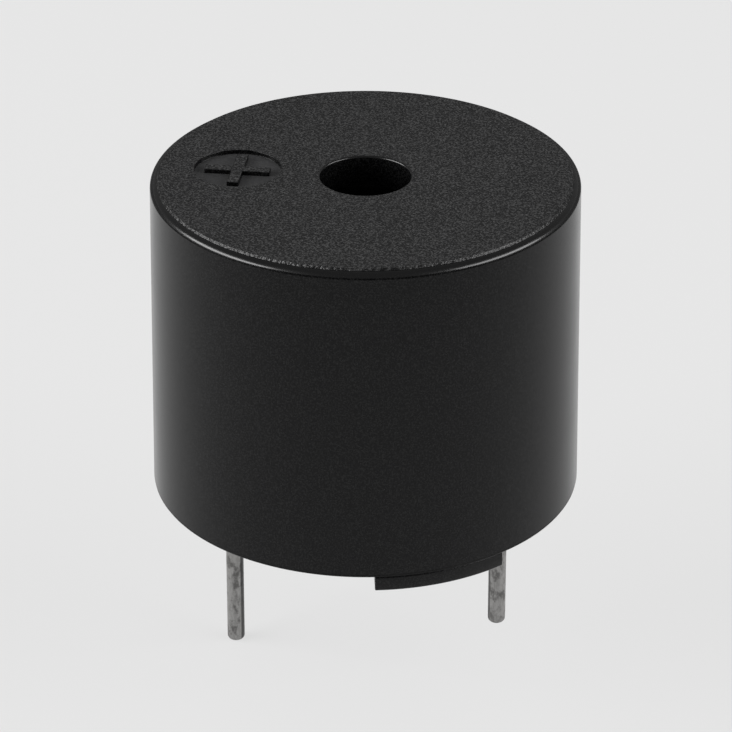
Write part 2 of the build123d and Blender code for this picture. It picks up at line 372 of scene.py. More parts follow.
class Graph:
    """A material's node tree, with short calls that add and join its nodes."""

    def __init__(self, name: str) -> None:
        """Starts a material with a plain shader and its output.

        Args:
            name: The material's name.
        """
        self.material = bpy.data.materials.new(name)
        self.material.use_nodes = True
        self.tree = self.material.node_tree
        self.tree.nodes.clear()
        self.shader = self.tree.nodes.new("ShaderNodeBsdfPrincipled")
        self.output = self.tree.nodes.new("ShaderNodeOutputMaterial")
        self.join(self.shader.outputs["BSDF"], self.output.inputs["Surface"])
        self.place = self.tree.nodes.new("ShaderNodeTexCoord").outputs["Object"]

    def join(self, source: Socket, target: Socket) -> None:
        """Links one socket to another."""
        self.tree.links.new(source, target)

    def feed(self, target: Socket, value: "Socket | float | Colour") -> None:
        """Links a socket, or writes a constant into it.

        Args:
            target: The socket that is fed.
            value: Another socket, a number or a colour.
        """
        if isinstance(value, bpy.types.NodeSocket):
            self.join(value, target)
        elif isinstance(value, tuple) and target.type == "RGBA":
            target.default_value = (*value, 1.0)
        else:
            target.default_value = value

    def stretched(self, scale: tuple[float, float, float]) -> Socket:
        """The piece's coordinates, scaled.

        Args:
            scale: Factor along each axis.

        Returns:
            The mapped coordinates.
        """
        mapping = self.tree.nodes.new("ShaderNodeMapping")
        mapping.inputs["Scale"].default_value = scale
        self.join(self.place, mapping.inputs["Vector"])
        return mapping.outputs["Vector"]

    def noise(
        self, size: float, detail: float = 2.0, rough: float = 0.5, place: "Socket | None" = None
    ) -> Socket:
        """Cloudy noise from about 0.3 to 0.7.

        Args:
            size: Size of its largest features, in millimetres.
            detail: How many finer layers are added.
            rough: How strong the finer layers are.
            place: Coordinates to use instead of the piece's own.

        Returns:
            The noise value.
        """
        node = self.tree.nodes.new("ShaderNodeTexNoise")
        node.inputs["Scale"].default_value = 1.0 / (size * MILLIMETRE)
        node.inputs["Detail"].default_value = detail
        node.inputs["Roughness"].default_value = rough
        self.join(place or self.place, node.inputs["Vector"])
        return node.outputs["Fac"]

    def cells(self, size: float) -> Socket:
        """Distance to the nearest of many scattered points.

        Args:
            size: About how far apart the points are, in millimetres.

        Returns:
            The distance, 1 standing for that size.
        """
        node = self.tree.nodes.new("ShaderNodeTexVoronoi")
        node.inputs["Scale"].default_value = 1.0 / (size * MILLIMETRE)
        self.join(self.place, node.inputs["Vector"])
        return node.outputs["Distance"]

    def span(self, source: Socket, low: float, high: float, first: float = 0.0, last: float = 1.0) -> Socket:
        """Maps a value smoothly from one range to another, held at its ends.

        Args:
            source: The value.
            low: Where the source range starts.
            high: Where the source range ends.
            first: The result at the start.
            last: The result at the end.

        Returns:
            The mapped value.
        """
        node = self.tree.nodes.new("ShaderNodeMapRange")
        node.interpolation_type = "SMOOTHSTEP"
        node.inputs["From Min"].default_value = low
        node.inputs["From Max"].default_value = high
        node.inputs["To Min"].default_value = first
        node.inputs["To Max"].default_value = last
        self.join(source, node.inputs["Value"])
        return node.outputs["Result"]

    def math(self, operation: str, one: "Socket | float", other: "Socket | float" = 0.0) -> Socket:
        """Works out one value from one or two others.

        Args:
            operation: The operation's name.
            one: The first value.
            other: The second value, where the operation has one.

        Returns:
            The result.
        """
        node = self.tree.nodes.new("ShaderNodeMath")
        node.operation = operation
        self.feed(node.inputs[0], one)
        self.feed(node.inputs[1], other)
        return node.outputs["Value"]

    def blend(self, share: "Socket | float", one: "Socket | Colour", other: "Socket | Colour") -> Socket:
        """Mixes two colours.

        Args:
            share: The second colour's share.
            one: The first colour.
            other: The second colour.

        Returns:
            The mixed colour.
        """
        node = self.tree.nodes.new("ShaderNodeMix")
        node.data_type = "RGBA"
        self.feed(node.inputs[0], share)
        self.feed(node.inputs[6], one)
        self.feed(node.inputs[7], other)
        return node.outputs[2]

    def relief(self, height: Socket, depth: float, under: "Socket | None" = None) -> Socket:
        """Turns a height into a bumped normal.

        Args:
            height: The height, from 0 to 1.
            depth: What a height of 1 stands for, in millimetres.
            under: A normal that this relief is laid over.

        Returns:
            The normal.
        """
        node = self.tree.nodes.new("ShaderNodeBump")
        node.inputs["Strength"].default_value = 1.0
        node.inputs["Distance"].default_value = depth * MILLIMETRE
        self.join(height, node.inputs["Height"])
        if under is not None:
            self.join(under, node.inputs["Normal"])
        return node.outputs["Normal"]

    def axis(self, name: str) -> Socket:
        """One of the piece's own coordinates.

        Args:
            name: X, Y or Z.

        Returns:
            The coordinate, in metres.
        """
        node = self.tree.nodes.new("ShaderNodeSeparateXYZ")
        self.join(self.place, node.inputs["Vector"])
        return node.outputs[name]

    def roughen(self, noise: Socket, low: float, high: float) -> None:
        """Lets the shader's roughness follow a noise."""
        self.set("Roughness", self.span(noise, *NOISE_RANGE, low, high))

    def set(self, name: str, value: "Socket | float | Colour") -> None:
        """Feeds one of the shader's inputs."""
        self.feed(self.shader.inputs[name], value)


@dataclass(frozen=True)
class Finish:
    """A named surface finish."""

    name: str

    def material(self) -> bpy.types.Material:
        """The finish's material, made once and shared.

        Returns:
            The material.
        """
        if self.name not in MADE:
            graph = Graph(self.name)
            self.paint(graph)
            MADE[self.name] = graph.material
        return MADE[self.name]

    def paint(self, graph: Graph) -> None:
        """Fills the finish's node tree.

        Args:
            graph: The new material's node tree.
        """
        raise NotImplementedError


@dataclass(frozen=True)
class MouldedPlastic(Finish):
    """Dark moulded plastic, from smooth to spark-textured.

    Attributes:
        colour: The plastic's own colour.
        roughness: How soft its reflections are.
        gloss: The shader's specular level.
        grain: Size of the texture's bumps, in millimetres.
        grain_depth: Height of the texture's bumps, in millimetres.
        ripple_depth: Height of the slow waves that moulding leaves, in millimetres.
        painted_grain_glint: How much lighter the tops of the texture's bumps are painted, a painted glint
            standing in for light catching them.
        dust: How much lighter its dust specks are.
    """

    colour: Colour = (0.0015, 0.0015, 0.0016)
    roughness: float = 0.2
    gloss: float = 0.2
    grain: float = 0.05
    grain_depth: float = 0.0002
    ripple_depth: float = 0.0005
    painted_grain_glint: float = 0.0005
    dust: float = 0.0

    def paint(self, graph: Graph) -> None:
        """Fills the finish's node tree.

        Args:
            graph: The new material's node tree.
        """
        grain = graph.noise(self.grain, 2.0, 0.5)
        patches = graph.noise(1.7, 3.0, 0.5)
        # Painted highlight: the tops of the grain's bumps are made lighter in colour, standing in for light
        # glinting on the texture's peaks.
        light = tuple(channel + self.painted_grain_glint for channel in self.colour)
        tone = graph.blend(graph.span(grain, 0.42, 0.68), self.colour, light)
        pale = tuple(channel + self.dust for channel in self.colour)
        specks = graph.span(graph.cells(0.35), 0.03, 0.06, 1.0, 0.0)
        rare = graph.span(graph.noise(0.5, 1.0), 0.62, 0.66)
        graph.set("Base Color", graph.blend(graph.math("MULTIPLY", specks, rare), tone, pale))
        graph.roughen(patches, self.roughness - 0.01, self.roughness + 0.02)
        graph.set("Specular IOR Level", self.gloss)
        waves = graph.relief(graph.noise(2.5, 1.0), self.ripple_depth)
        graph.set("Normal", graph.relief(grain, self.grain_depth, waves))


@dataclass(frozen=True)
class TinnedWire(Finish):
    """Dull tin over drawn wire, with streaks along it, dark stains, and a painted dark reflection on the side
    that faces the middle of the part.

    Attributes:
        clean: Colour of the clean tin.
        stained: Colour of its stains.
        painted_dark_reflection: Colour painted on the side that faces the middle of the part, a painted
            reflection of the shaded floor between the pins.
        inner_side: How far from the middle the painted dark side reaches, in millimetres.
        fading: Half the width over which it fades out, in millimetres.
        waver: How far the streaks move its edge, in millimetres.
    """

    clean: Colour = (0.31, 0.306, 0.3)
    stained: Colour = (0.1, 0.098, 0.095)
    painted_dark_reflection: Colour = (0.03, 0.03, 0.03)
    inner_side: float = 3.64
    fading: float = 0.02
    waver: float = 0.03

    def paint(self, graph: Graph) -> None:
        """Fills the finish's node tree.

        Args:
            graph: The new material's node tree.
        """
        streaks = graph.noise(0.07, 3.0, 0.6, graph.stretched((1.0, 1.0, 0.3)))
        blots = graph.noise(0.24, 4.0, 0.62, graph.stretched((1.0, 1.0, 0.7)))
        stain = graph.span(blots, 0.46, 0.64, 0.0, 0.85)
        points = graph.span(graph.cells(0.42), 0.08, 0.2, 1.0, 0.0)
        spots = graph.math("MULTIPLY", points, graph.span(blots, 0.48, 0.56))
        worn = graph.blend(graph.span(streaks, 0.35, 0.65, 0.0, 0.3), self.clean, self.stained)
        mottled = graph.blend(graph.math("MAXIMUM", stain, spots), worn, self.stained)
        sway = graph.math("MULTIPLY", streaks, self.waver * MILLIMETRE)
        reach = graph.math("ADD", graph.math("ABSOLUTE", graph.axis("X")), sway)
        low, high = (self.inner_side - self.fading) * MILLIMETRE, (self.inner_side + self.fading) * MILLIMETRE
        # Painted reflection: this share, though named tarnish, darkens the pins' facing sides in colour. It
        # stands in for their reflection of the shaded floor between them.
        tarnish = graph.span(reach, low, high, 0.85, 0.0)
        graph.set("Base Color", graph.blend(tarnish, mottled, self.painted_dark_reflection))
        graph.set("Metallic", 1.0)
        graph.roughen(streaks, 0.32, 0.5)
        graph.set("Normal", graph.relief(streaks, 0.004, graph.relief(blots, 0.012)))


@dataclass(frozen=True)
class Metal(Finish):
    """Solid metal with a fine grain and slight tarnish.

    Attributes:
        colour: The metal's reflection colour.
        tarnish: Colour of its duller patches.
        roughness: How soft its reflections are.
        grain: Size of its surface grain, in millimetres.
        grain_depth: Height of that grain, in millimetres.
    """

    colour: Colour = (0.6, 0.59, 0.56)
    tarnish: Colour = (0.35, 0.33, 0.3)
    roughness: float = 0.35
    grain: float = 0.05
    grain_depth: float = 0.001

    def paint(self, graph: Graph) -> None:
        """Fills the finish's node tree.

        Args:
            graph: The new material's node tree.
        """
        grain = graph.noise(self.grain, 3.0, 0.6)
        patches = graph.noise(0.8, 3.0, 0.6)
        graph.set("Base Color", graph.blend(graph.span(patches, 0.45, 0.7), self.colour, self.tarnish))
        graph.set("Metallic", 1.0)
        graph.roughen(grain, self.roughness - 0.08, self.roughness + 0.1)
        graph.set("Normal", graph.relief(grain, self.grain_depth))


@dataclass(frozen=True)
class Winding(Finish):
    """Enamelled copper wire wound in close turns round the Z axis.

    Attributes:
        wire: The wire's diameter, in millimetres.
        dull: Colour of its duller enamel.
        bright: Colour of its brighter enamel.
        painted_crease_shade: Colour painted between two turns, a painted shade for the crease where they
            meet.
    """

    wire: float = 0.06
    dull: Colour = (0.42, 0.13, 0.045)
    bright: Colour = (0.6, 0.24, 0.09)
    painted_crease_shade: Colour = (0.05, 0.012, 0.005)

    def paint(self, graph: Graph) -> None:
        """Fills the finish's node tree.

        Args:
            graph: The new material's node tree.
        """
        turns = graph.math("MULTIPLY", graph.axis("Z"), math.pi / (self.wire * MILLIMETRE))
        round_wire = graph.math("ABSOLUTE", graph.math("SINE", turns))
        patches = graph.noise(0.5, 2.0)
        shade = graph.blend(graph.span(patches, 0.35, 0.65), self.dull, self.bright)
        # Painted shade: the creases between the turns get a darker colour, standing in for the shade that
        # falls there.
        between = graph.span(round_wire, 0.0, 0.35, 1.0, 0.0)
        graph.set("Base Color", graph.blend(between, shade, self.painted_crease_shade))
        graph.set("Metallic", 0.85)
        graph.roughen(patches, 0.22, 0.34)
        graph.set("Coat Weight", 0.6)
        graph.set("Coat Roughness", 0.12)
        graph.set("Normal", graph.relief(round_wire, self.wire / 2))


@dataclass(frozen=True)
class FibreBoard(Finish):
    """Pressed board of woven fibre and resin.

    Attributes:
        thread: Distance from one thread of the weave to the next but one, in millimetres.
        dark: Colour of its darker patches.
        light: Colour of its lighter patches.
        crossing: Colour where threads cross.
    """

    thread: float = 0.4
    dark: Colour = (0.3, 0.2, 0.075)
    light: Colour = (0.42, 0.31, 0.14)
    crossing: Colour = (0.2, 0.13, 0.05)

    def paint(self, graph: Graph) -> None:
        """Fills the finish's node tree.

        Args:
            graph: The new material's node tree.
        """
        turns = math.tau / (self.thread * MILLIMETRE)
        warp, weft = (
            graph.math("SINE", graph.math("MULTIPLY", graph.axis(name), turns)) for name in ("X", "Y")
        )
        weave = graph.span(graph.math("MULTIPLY", warp, weft), -1.0, 1.0)
        patches = graph.noise(1.2, 4.0, 0.6)
        tone = graph.blend(graph.span(patches, 0.35, 0.65), self.dark, self.light)
        graph.set("Base Color", graph.blend(graph.math("MULTIPLY", weave, 0.25), tone, self.crossing))
        graph.roughen(patches, 0.4, 0.55)
        graph.set("Normal", graph.relief(weave, 0.006))


@dataclass(frozen=True)
class Pressed(Finish):
    """A hard pressed or moulded body with mineral grain, such as ferrite or ceramic.

    Attributes:
        colour: The body's colour.
        speckle: Colour of its grains.
        roughness: How soft its reflections are.
        grain: Size of its grains, in millimetres.
    """

    colour: Colour = (0.06, 0.06, 0.064)
    speckle: Colour = (0.16, 0.16, 0.17)
    roughness: float = 0.55
    grain: float = 0.06

    def paint(self, graph: Graph) -> None:
        """Fills the finish's node tree.

        Args:
            graph: The new material's node tree.
        """
        grains = graph.cells(self.grain)
        patches = graph.noise(0.9, 3.0, 0.6)
        tone = graph.blend(graph.span(grains, 0.1, 0.5, 1.0, 0.0), self.colour, self.speckle)
        dark = tuple(channel * 0.6 for channel in self.colour)
        graph.set("Base Color", graph.blend(graph.span(patches, 0.4, 0.75, 0.0, 0.6), tone, dark))
        graph.roughen(patches, self.roughness - 0.08, self.roughness + 0.08)
        graph.set("Normal", graph.relief(graph.span(grains, 0.0, 0.6), 0.008))


@dataclass(frozen=True)
class CastResin(Finish):
    """Glossy black resin that was poured and left to level.

    Attributes:
        deep: Colour of its darker parts.
        milky: Colour of its paler parts.
    """

    deep: Colour = (0.008, 0.008, 0.009)
    milky: Colour = (0.014, 0.014, 0.015)

    def paint(self, graph: Graph) -> None:
        """Fills the finish's node tree.

        Args:
            graph: The new material's node tree.
        """
        waves = graph.noise(1.6, 2.0, 0.45)
        bubbles = graph.span(graph.cells(0.55), 0.05, 0.13)
        rare = graph.span(graph.noise(0.9, 1.0), 0.55, 0.6)
        burst = graph.math("MULTIPLY", graph.math("SUBTRACT", 1.0, bubbles), rare)
        pits = graph.math("SUBTRACT", 1.0, burst)
        graph.set("Base Color", graph.blend(graph.span(waves, 0.35, 0.65), self.deep, self.milky))
        graph.roughen(graph.noise(0.4, 3.0), 0.16, 0.3)
        graph.set("Normal", graph.relief(pits, 0.03, graph.relief(waves, 0.02)))


WALL = MouldedPlastic(
    "case_wall", (0.0007, 0.0007, 0.0008), 0.2, 0.19, grain=0.045, grain_depth=0.0006, painted_grain_glint=0.006
)
ROOF = MouldedPlastic(
    "case_roof", (0.0095, 0.0095, 0.0098), 0.46, 0.2, grain=0.058, grain_depth=0.04, painted_grain_glint=0.05, dust=0.04
)
RIM = MouldedPlastic("case_rim", roughness=0.24, gloss=0.5)
BRINK = MouldedPlastic(
    "case_texture_edge", roughness=0.32, gloss=0.36, grain=0.1, grain_depth=0.05, painted_grain_glint=0.03
)
MARK = MouldedPlastic("case_mark", (0.04, 0.04, 0.041), 0.44, 0.2, grain=0.1, grain_depth=0.005, painted_grain_glint=0.008)
MOUTH = MouldedPlastic("case_mouth", roughness=0.5, gloss=0.1, painted_grain_glint=0.004)
BASE = MouldedPlastic(
    "base_moulding",
    roughness=0.26,
    grain=0.045,
    grain_depth=0.001,
    ripple_depth=0.001,
    painted_grain_glint=0.006,
)
RESIN = CastResin("cast_resin")
WIRE = TinnedWire("drawn_tinned_wire")
TIN = Metal("bright_tin", (0.62, 0.62, 0.6), (0.3, 0.3, 0.29), 0.28, 0.08, 0.002)
COPPER = Metal("copper_foil", (0.78, 0.36, 0.2), (0.4, 0.17, 0.09), 0.34, 0.04, 0.001)
IRON = Metal("plated_iron", (0.6, 0.59, 0.56), (0.4, 0.38, 0.34), 0.32, 0.06, 0.001)
SPRING = Metal("rolled_spring_steel", (0.64, 0.63, 0.6), (0.5, 0.47, 0.42), 0.22, 0.03, 0.0004)
WINDING = Winding("wound_wire")
BOARD = FibreBoard("fibre_board")
FERRITE = Pressed("ferrite", (0.05, 0.05, 0.053), (0.13, 0.13, 0.135), 0.5, 0.07)
CHIP = Pressed("chip_body", (0.02, 0.02, 0.022), (0.05, 0.05, 0.055), 0.35, 0.05)
MOULDING = MouldedPlastic("transistor_moulding", (0.016, 0.016, 0.017), 0.5, 0.4, 0.05, 0.003, painted_grain_glint=0.01)
RING = MouldedPlastic("ring_moulding", (0.03, 0.03, 0.031), 0.45, 0.4, 0.08, 0.002, painted_grain_glint=0.01)

INNER_FINISHES: dict[str, Finish] = {
    "circuit_board": BOARD,
    "board_tracks": COPPER,
    "pin_solder_positive": TIN,
    "pin_solder_negative": TIN,
    "transistor_body": MOULDING,
    "transistor_legs": WIRE,
    "resistor_body": CHIP,
    "resistor_ends": TIN,
    "yoke": IRON,
    "core": IRON,
    "coil": WINDING,
    "coil_lead_start": COPPER,
    "coil_lead_tap": COPPER,
    "coil_lead_finish": COPPER,
    "lead_solder": TIN,
    "ring_magnet": FERRITE,
    "support_ring": RING,
    "diaphragm": SPRING,
    "magnetic_piece": IRON,
}


def is_sharp(edge: bmesh.types.BMEdge) -> bool:
    """Whether two faces meet at an edge in a sharp corner."""
    return edge.is_manifold and edge.calc_face_angle() > SHARP


@dataclass
class Case:
    """The moulded cup with its sound hole and polarity mark."""

    mouth: float
    top: float
    ledge: float
    steps: int = 256
    radius: float = 6.0
    top_radius: float = 5.8999
    bore: float = 5.15
    chamber: float = 4.6
    chamber_bevel: float = 0.3
    roof: float = 0.9
    rim_rounding: float = 0.19
    rim_facing: tuple[float, float] = (0.13, 0.9999)
    mouth_rounding: float = 0.12
    inner_rounding: float = 0.03
    spare_circles: tuple[float, float] = (5.0, 2.1)
    brink_height: float = 0.062
    brink_width: float = 0.036
    hole: float = 1.25
    hole_rounding: float = 0.05
    mark_place: float = -3.54
    mark_radius: float = 1.2
    mark_depth: float = 0.12
    mark_rounding: float = 0.012
    plus_length: float = 1.8
    plus_width: float = 0.32
    plus_root: float = 0.1
    spill: float = 0.3

    def build(self) -> Piece:
        """Builds and dresses the case.

        Returns:
            The finished case.
        """
        piece = self.shell()
        Bench.combine(piece, self.pocket(), "DIFFERENCE")
        Bench.dress(piece, WALL, ROOF, RIM, MARK, BRINK, MOUTH)
        tests = (self.on_roof, self.on_rim, self.on_mark_floor, self.on_brink, self.on_mouth)
        for index, test in enumerate(tests, start=1):
            Bench.assign(piece, index, test)
        return Bench.complete(piece, Slot.CASE_PLASTIC, "case", self.on_plain_roof)

    def shell(self) -> Piece:
        """Turns the cup, with spare circles on the roof that keep its shading flat.

        Returns:
            The cup, without its mark.
        """
        inner_top = self.top - self.roof
        rim_top = self.top - self.brink_height
        flat_end = self.top_radius - self.rim_rounding
        corners = [
            Corner(self.bore, self.mouth, self.inner_rounding, 2),
            Corner(self.radius, self.mouth, self.mouth_rounding, 4),
            Corner(self.top_radius, rim_top, self.rim_rounding, 14),
            Corner(flat_end, rim_top),
            Corner(flat_end - self.brink_width, self.top),
            *(Corner(circle, self.top) for circle in self.spare_circles),
            Corner(self.hole + 2 * self.hole_rounding, self.top),
            Corner(self.hole, self.top, self.hole_rounding, 4),
            Corner(self.hole, inner_top, self.inner_rounding, 2),
            Corner(self.chamber - self.chamber_bevel, inner_top),
            Corner(self.chamber, inner_top - self.chamber_bevel),
            Corner(self.chamber, self.ledge, self.inner_rounding, 2),
            Corner(self.bore, self.ledge),
        ]
        return Bench.turn("buzzer_case", corners, self.steps)

    def pocket(self) -> Piece:
        """The shape that sinks the mark into the roof and leaves the plus standing in it.

        Returns:
            The closed shape, at the mark's place.
        """
        floor = self.top - self.mark_depth
        soft = self.mark_rounding
        corners = [
            Corner(0.0, floor),
            Corner(self.mark_radius, floor, soft, 3),
            Corner(self.mark_radius, self.top - soft),
            Corner(self.mark_radius + soft / 3, self.top - soft / 3),
            Corner(self.mark_radius + soft, self.top + 2 * LEVEL),
            Corner(self.mark_radius + soft, self.top + self.spill),
            Corner(0.0, self.top + self.spill),
        ]
        pocket = Bench.move(Bench.turn("pocket", corners, 96), self.mark_place, 0.0)
        Bench.combine(pocket, self.plus(), "DIFFERENCE")
        return pocket

    def plus(self) -> Piece:
        """A small block drawn out on four sides into a plus, with softened top edges.

        Returns:
            The plus, from below the pocket's floor to the roof.
        """
        Bench.clear()
        low = self.top - self.mark_depth - self.plus_root
        bpy.ops.mesh.primitive_cube_add(size=1.0, location=(self.mark_place, 0.0, (self.top + low) / 2))
        block = bpy.context.object
        block.scale = (self.plus_width, self.plus_width, self.top - low)
        bpy.ops.object.transform_apply(location=True, rotation=True, scale=True)
        arm = (self.plus_length - self.plus_width) / 2
        with Bench.shaping(block):
            for x, y in ((1, 0), (-1, 0), (0, 1), (0, -1)):
                side = Vector((x, y))
                Bench.pick(block, Element.FACE, lambda face: self.ends_arm(face, side))
                bpy.ops.mesh.extrude_region_move(TRANSFORM_OT_translate={"value": (x * arm, y * arm, 0.0)})
            Bench.pick(block, Element.EDGE, self.is_top_edge)
            bpy.ops.mesh.bevel(offset=self.mark_rounding, segments=3, affect="EDGES")
        return block

    def ends_arm(self, face: bmesh.types.BMFace, side: Vector) -> bool:
        """Whether a face closes the middle block of the plus on the given side."""
        away = face.calc_center_median().xy - Vector((self.mark_place, 0.0))
        return face.normal.xy.dot(side) > FACING and (away - side * self.plus_width / 2).length < NEAR

    def is_top_edge(self, edge: bmesh.types.BMEdge) -> bool:
        """Whether an edge of the plus bounds its top face."""
        level = all(vertex.co.z > self.top - LEVEL for vertex in edge.verts)
        return level and is_sharp(edge)

    def on_plain_roof(self, face: bmesh.types.BMFace) -> bool:
        """Whether a face is part of the roof and clear of the hole's rounded edge."""
        return self.on_roof(face) and face.calc_center_median().xy.length > self.hole + 2 * self.hole_rounding

    def on_roof(self, face: bmesh.types.BMFace) -> bool:
        """Whether a face is part of the flat roof or of the top of the plus."""
        return face.normal.z > FLAT and face.calc_center_median().z > self.top - LEVEL

    def on_rim(self, face: bmesh.types.BMFace) -> bool:
        """Says whether a face is part of the glossier rounding of the rim or of the hole.

        Args:
            face: A face of the case.

        Returns:
            True on the rounding, apart from its lowest part, which looks like the wall.
        """
        middle = face.calc_center_median()
        reach = middle.xy.length
        outer = reach > self.top_radius - self.rim_rounding and middle.z > self.top - self.rim_rounding
        inner = abs(reach - self.hole - self.hole_rounding / 2) < self.hole_rounding / 2 + LEVEL
        rounded = self.rim_facing[0] < face.normal.z < self.rim_facing[1]
        return rounded and (outer or (inner and middle.z > self.top - 2 * self.hole_rounding))

    def on_mark_floor(self, face: bmesh.types.BMFace) -> bool:
        """Says whether a face is part of the floor of the mark's pocket.

        Args:
            face: A face of the case.

        Returns:
            True on the floor and the lowest part of its rounded edge.
        """
        middle = face.calc_center_median()
        inside = (middle.xy - Vector((self.mark_place, 0.0))).length < self.mark_radius
        level = abs(middle.z - self.top + self.mark_depth) < 2 * self.mark_rounding
        return inside and level and face.normal.z > 0.9

    def on_brink(self, face: bmesh.types.BMFace) -> bool:
        """Says whether a face is part of the small step where the roof's texture ends.

        Args:
            face: A face of the case.

        Returns:
            True on the step.
        """
        step = self.top_radius - self.rim_rounding - self.brink_width / 2
        near = abs(face.calc_center_median().xy.length - step) < self.brink_width
        return near and 0.3 < face.normal.z < 0.9

    def on_mouth(self, face: bmesh.types.BMFace) -> bool:
        """Whether a face is part of the mouth's rim or of its outer rounding."""
        return face.normal.z < -0.1 and face.calc_center_median().z < self.mouth + self.mouth_rounding


@dataclass
class Pin:
    """A wire pin with a grip in the resin and a thin tail in the board."""

    name: str
    side: int
    tip: float
    tail_top: float
    grip_low: float
    grip_high: float
    place: float = 3.81
    radius: float = 0.25
    tip_rounding: float = 0.14
    grip_radius: float = 0.45
    tail_radius: float = 0.2
    steps: int = 48

    def build(self) -> Piece:
        """Builds and dresses the pin.

        Returns:
            The finished pin.
        """
        corners = [
            Corner(0.0, self.tip),
            Corner(self.radius, self.tip, self.tip_rounding, 6),
            Corner(self.radius, self.grip_low),
            Corner(self.grip_radius, self.grip_low),
            Corner(self.grip_radius, self.grip_high),
            Corner(self.tail_radius, self.grip_high),
            Corner(self.tail_radius, self.tail_top),
            Corner(0.0, self.tail_top),
        ]
        piece = Bench.turn(f"{self.name}_wire", corners, self.steps, closed=False)
        Bench.move(piece, self.side * self.place, 0.0)
        Bench.dress(piece, WIRE)
        return Bench.complete(piece, Slot.TINNED_WIRE, self.name)


@dataclass
class Base:
    """The plate that closes the case, with its shelf and its two feet."""

    face: float
    floor_top: float
    rim_top: float
    steps: int = 360
    foot_angles: tuple[float, float] = (-61.5, 118.5)
    foot_span: float = 37.0
    foot_reach: float = 5.9
    foot_bevel: float = 0.06
    recess_depth: float = 0.3
    radius: float = 5.1
    recess: float = 4.6
    shelf: float = 4.5
    edge: float = 0.04
    pin_place: float = 3.81
    passage: float = 0.6
    well: float = 0.65
    overlap: float = 0.1

    def build(self) -> Piece:
        """Builds and dresses the base.

        Returns:
            The finished base.
        """
        recess_top = self.face + self.recess_depth
        corners = [
            Corner(0.0, recess_top),
            Corner(self.recess, recess_top),
            Corner(self.recess, self.face),
            Corner(self.radius, self.face),
            Corner(self.radius, self.rim_top, self.edge, 3),
            Corner(self.shelf, self.rim_top, self.edge, 3),
            Corner(self.shelf, self.floor_top),
            Corner(0.0, self.floor_top),
        ]
        piece = Bench.turn("buzzer_base", corners, self.steps, closed=False)
        passage = self.post(self.passage, recess_top - self.overlap, self.floor_top + self.overlap)
        well = self.post(self.well, self.floor_top, self.rim_top + self.overlap)
        for side in (-1, 1):
            for post in (passage, well):
                Bench.combine(piece, Bench.copy_to(post, side * self.pin_place), "DIFFERENCE")
        for post in (passage, well):
            bpy.data.objects.remove(post)
        for angle in self.foot_angles:
            self.draw_foot(piece, angle)
        Bench.dress(piece, BASE)
        return Bench.complete(piece, Slot.BASE_PLASTIC, "base")

    def post(self, radius: float, low: float, high: float) -> Piece:
        """An upright post on the axis, the pattern for cutting a passage or a well."""
        corners = [Corner(0.0, low), Corner(radius, low), Corner(radius, high), Corner(0.0, high)]
        return Bench.turn("post", corners, 48, closed=False)

    def draw_foot(self, piece: Piece, angle: float) -> None:
        """Pulls one foot down from the plate's rim and out under the case.

        Args:
            piece: The base, with its rim divided into one-degree faces.
            angle: The direction of the foot's middle, in degrees.
        """

        def by_foot(middle: Vector) -> bool:
            """Whether a point lies within the foot's span, seen from above."""
            turn = (math.degrees(math.atan2(middle.y, middle.x)) - angle + 180.0) % 360.0 - 180.0
            return abs(turn) < self.foot_span / 2

        def under(face: bmesh.types.BMFace) -> bool:
            """Whether a face of the rim's underside lies over the foot."""
            middle = face.calc_center_median()
            return face.normal.z < -FACING and abs(middle.z - self.face) < LEVEL and by_foot(middle)

        def outward(face: bmesh.types.BMFace) -> bool:
            """Whether a face is this foot's outer wall."""
            middle = face.calc_center_median()
            between = LEVEL < middle.z < self.face - LEVEL
            return between and middle.xy.length > self.radius - NEAR and by_foot(middle)

        def foot_edge(edge: bmesh.types.BMEdge) -> bool:
            """Says whether an edge bounds a foot's underside or the top of its outer wall.

            Args:
                edge: An edge of the base.

            Returns:
                True on those edges of any foot.
            """
            low = all(vertex.co.z < LEVEL for vertex in edge.verts)
            outer = all(vertex.co.xy.length > self.foot_reach - NEAR for vertex in edge.verts)
            high = outer and all(vertex.co.z > self.face - LEVEL for vertex in edge.verts)
            return (low or high) and is_sharp(edge)

        grow = self.foot_reach / self.radius
        with Bench.shaping(piece):
            Bench.pick(piece, Element.FACE, under)
            bpy.ops.mesh.extrude_region_move(TRANSFORM_OT_translate={"value": (0.0, 0.0, -self.face)})
            Bench.pick(piece, Element.FACE, outward)
            bpy.ops.mesh.extrude_region_move(TRANSFORM_OT_translate={"value": (0.0, 0.0, 0.0)})
            bpy.ops.transform.resize(value=(grow, grow, 1.0), center_override=(0.0, 0.0, 0.0))
            Bench.pick(piece, Element.EDGE, foot_edge)
            bpy.ops.mesh.bevel(offset=self.foot_bevel, segments=3, affect="EDGES")


